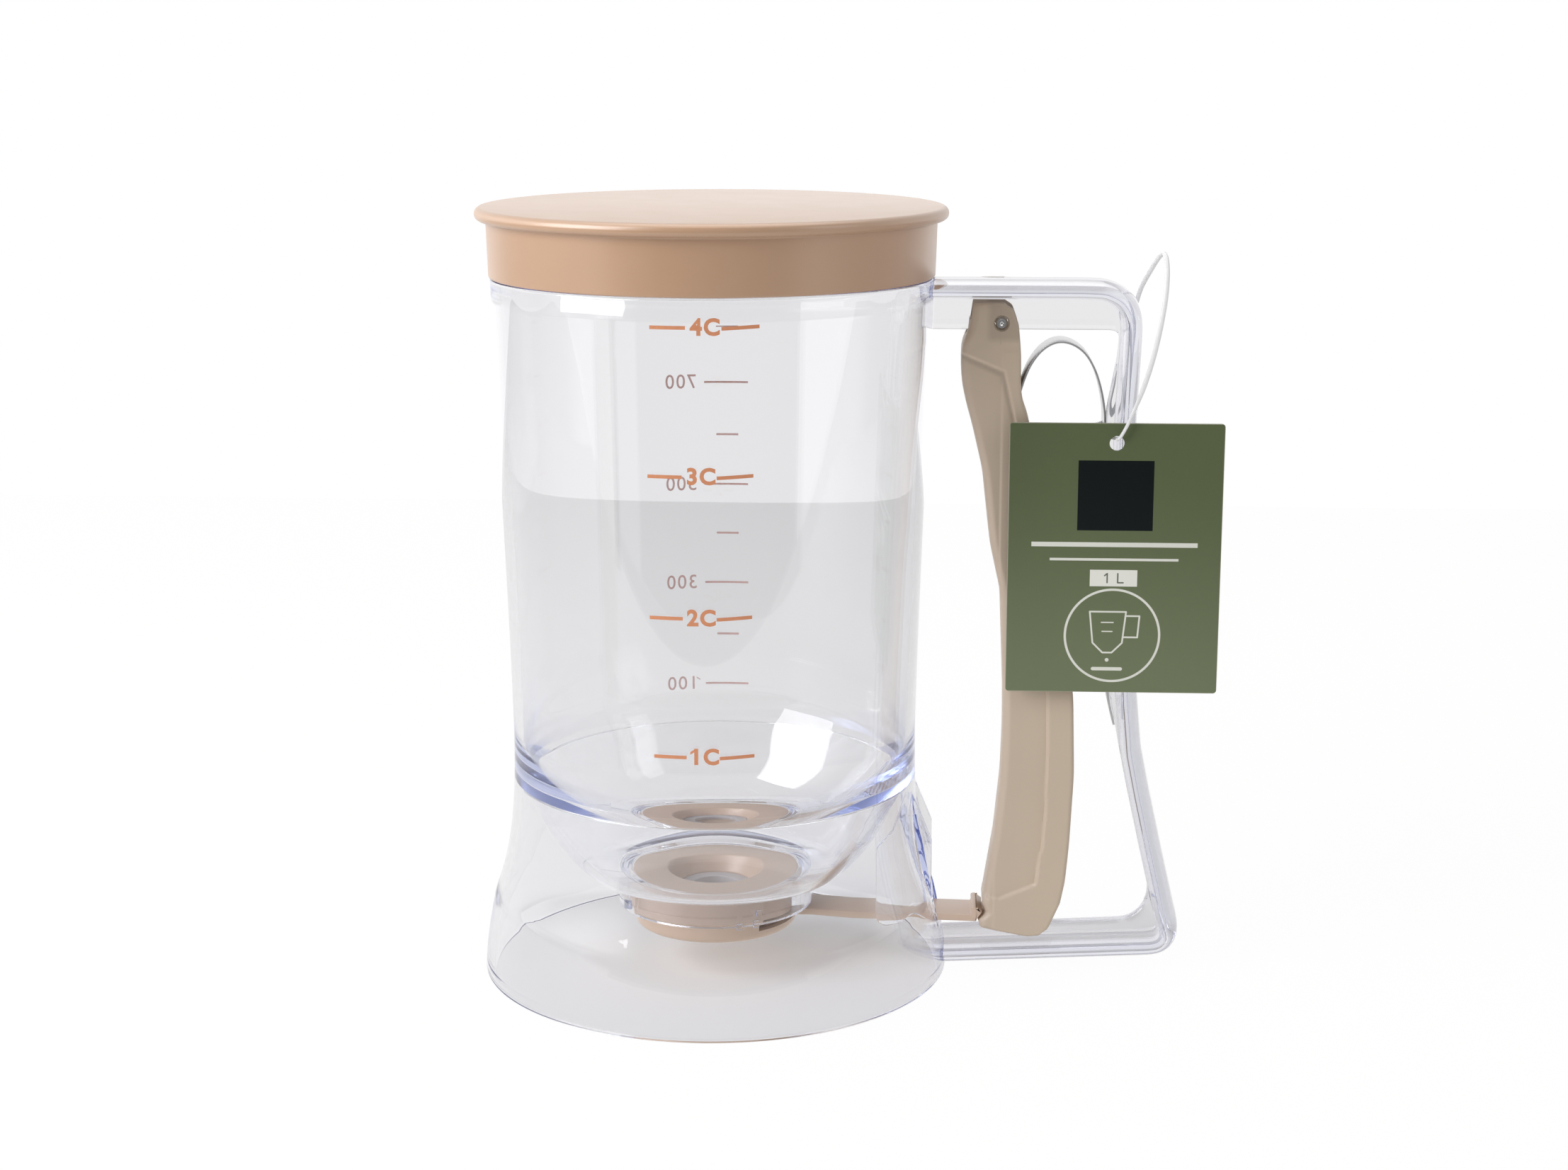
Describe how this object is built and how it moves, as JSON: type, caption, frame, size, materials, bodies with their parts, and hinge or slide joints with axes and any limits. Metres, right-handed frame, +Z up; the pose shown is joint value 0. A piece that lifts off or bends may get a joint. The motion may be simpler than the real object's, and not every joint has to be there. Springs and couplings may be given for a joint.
{
  "type": "batter dispenser",
  "caption": "Clear cup-shaped batter dispenser with a push-on lid, a squeeze-lever handle that opens a sliding valve under a funnel bowl, and a hang tag.",
  "frame": {"origin": "on the cup's axis at the level of the foot's rim, the surface it stands on", "axes": "+Z up along the cup's axis, +X along the handle"},
  "size_m": [0.1786, 0.1148, 0.1877],
  "materials": {
    "clear_plastic": "gloss",
    "beige_plastic": "satin",
    "lever_plastic": "satin",
    "steel": "brushed",
    "silicone": "matte",
    "card": "matte",
    "nylon": "gloss"
  },
  "bodies": {
    "dispenser": {"tank_shell": "clear_plastic", "funnel_bowl": "clear_plastic", "handle_frame": "clear_plastic", "pivot_pin": "steel", "leaf_spring": "steel", "valve_seat": "beige_plastic", "valve_seal": "silicone", "tag_loop": "nylon"},
    "lid": {"lid": "beige_plastic"},
    "lever": {"trigger_lever": "lever_plastic"},
    "slide": {"slide_gate": "lever_plastic"},
    "cap": {"base_cap": "beige_plastic"},
    "tag": {"hang_tag": "card"}
  },
  "joints": [
    {"name": "lever_pivot", "type": "hinge", "parent": "dispenser", "child": "lever", "pos_m": [0.0686, 0, 0.1608], "axis": [0, -1, 0], "range_deg": [0, 5.5], "stiffness_Nm_per_rad": 3, "springref_deg": -3.44, "deforming": ["leaf_spring"]},
    {"name": "slide_travel", "type": "slide", "parent": "dispenser", "child": "slide", "axis": [1, 0, 0], "range_m": [0, 0.0142]},
    {"name": "lid_lift", "type": "slide", "parent": "dispenser", "child": "lid", "axis": [0, 0, 1], "range_m": [0, 0.03]},
    {"name": "cap_twist", "type": "hinge", "parent": "dispenser", "child": "cap", "pos_m": [0, 0, 0.016], "axis": [0, 0, 1], "range_deg": [0, 30]},
    {"name": "tag_swing", "type": "hinge", "parent": "dispenser", "child": "tag", "pos_m": [0.096, -0.0105, 0.1332], "axis": [0, 1, 0], "range_deg": [-20, 20]}
  ],
  "couplings": [
    {"joint": "slide_travel", "follows": "lever_pivot", "m_per_rad": 0.1467}
  ]
}
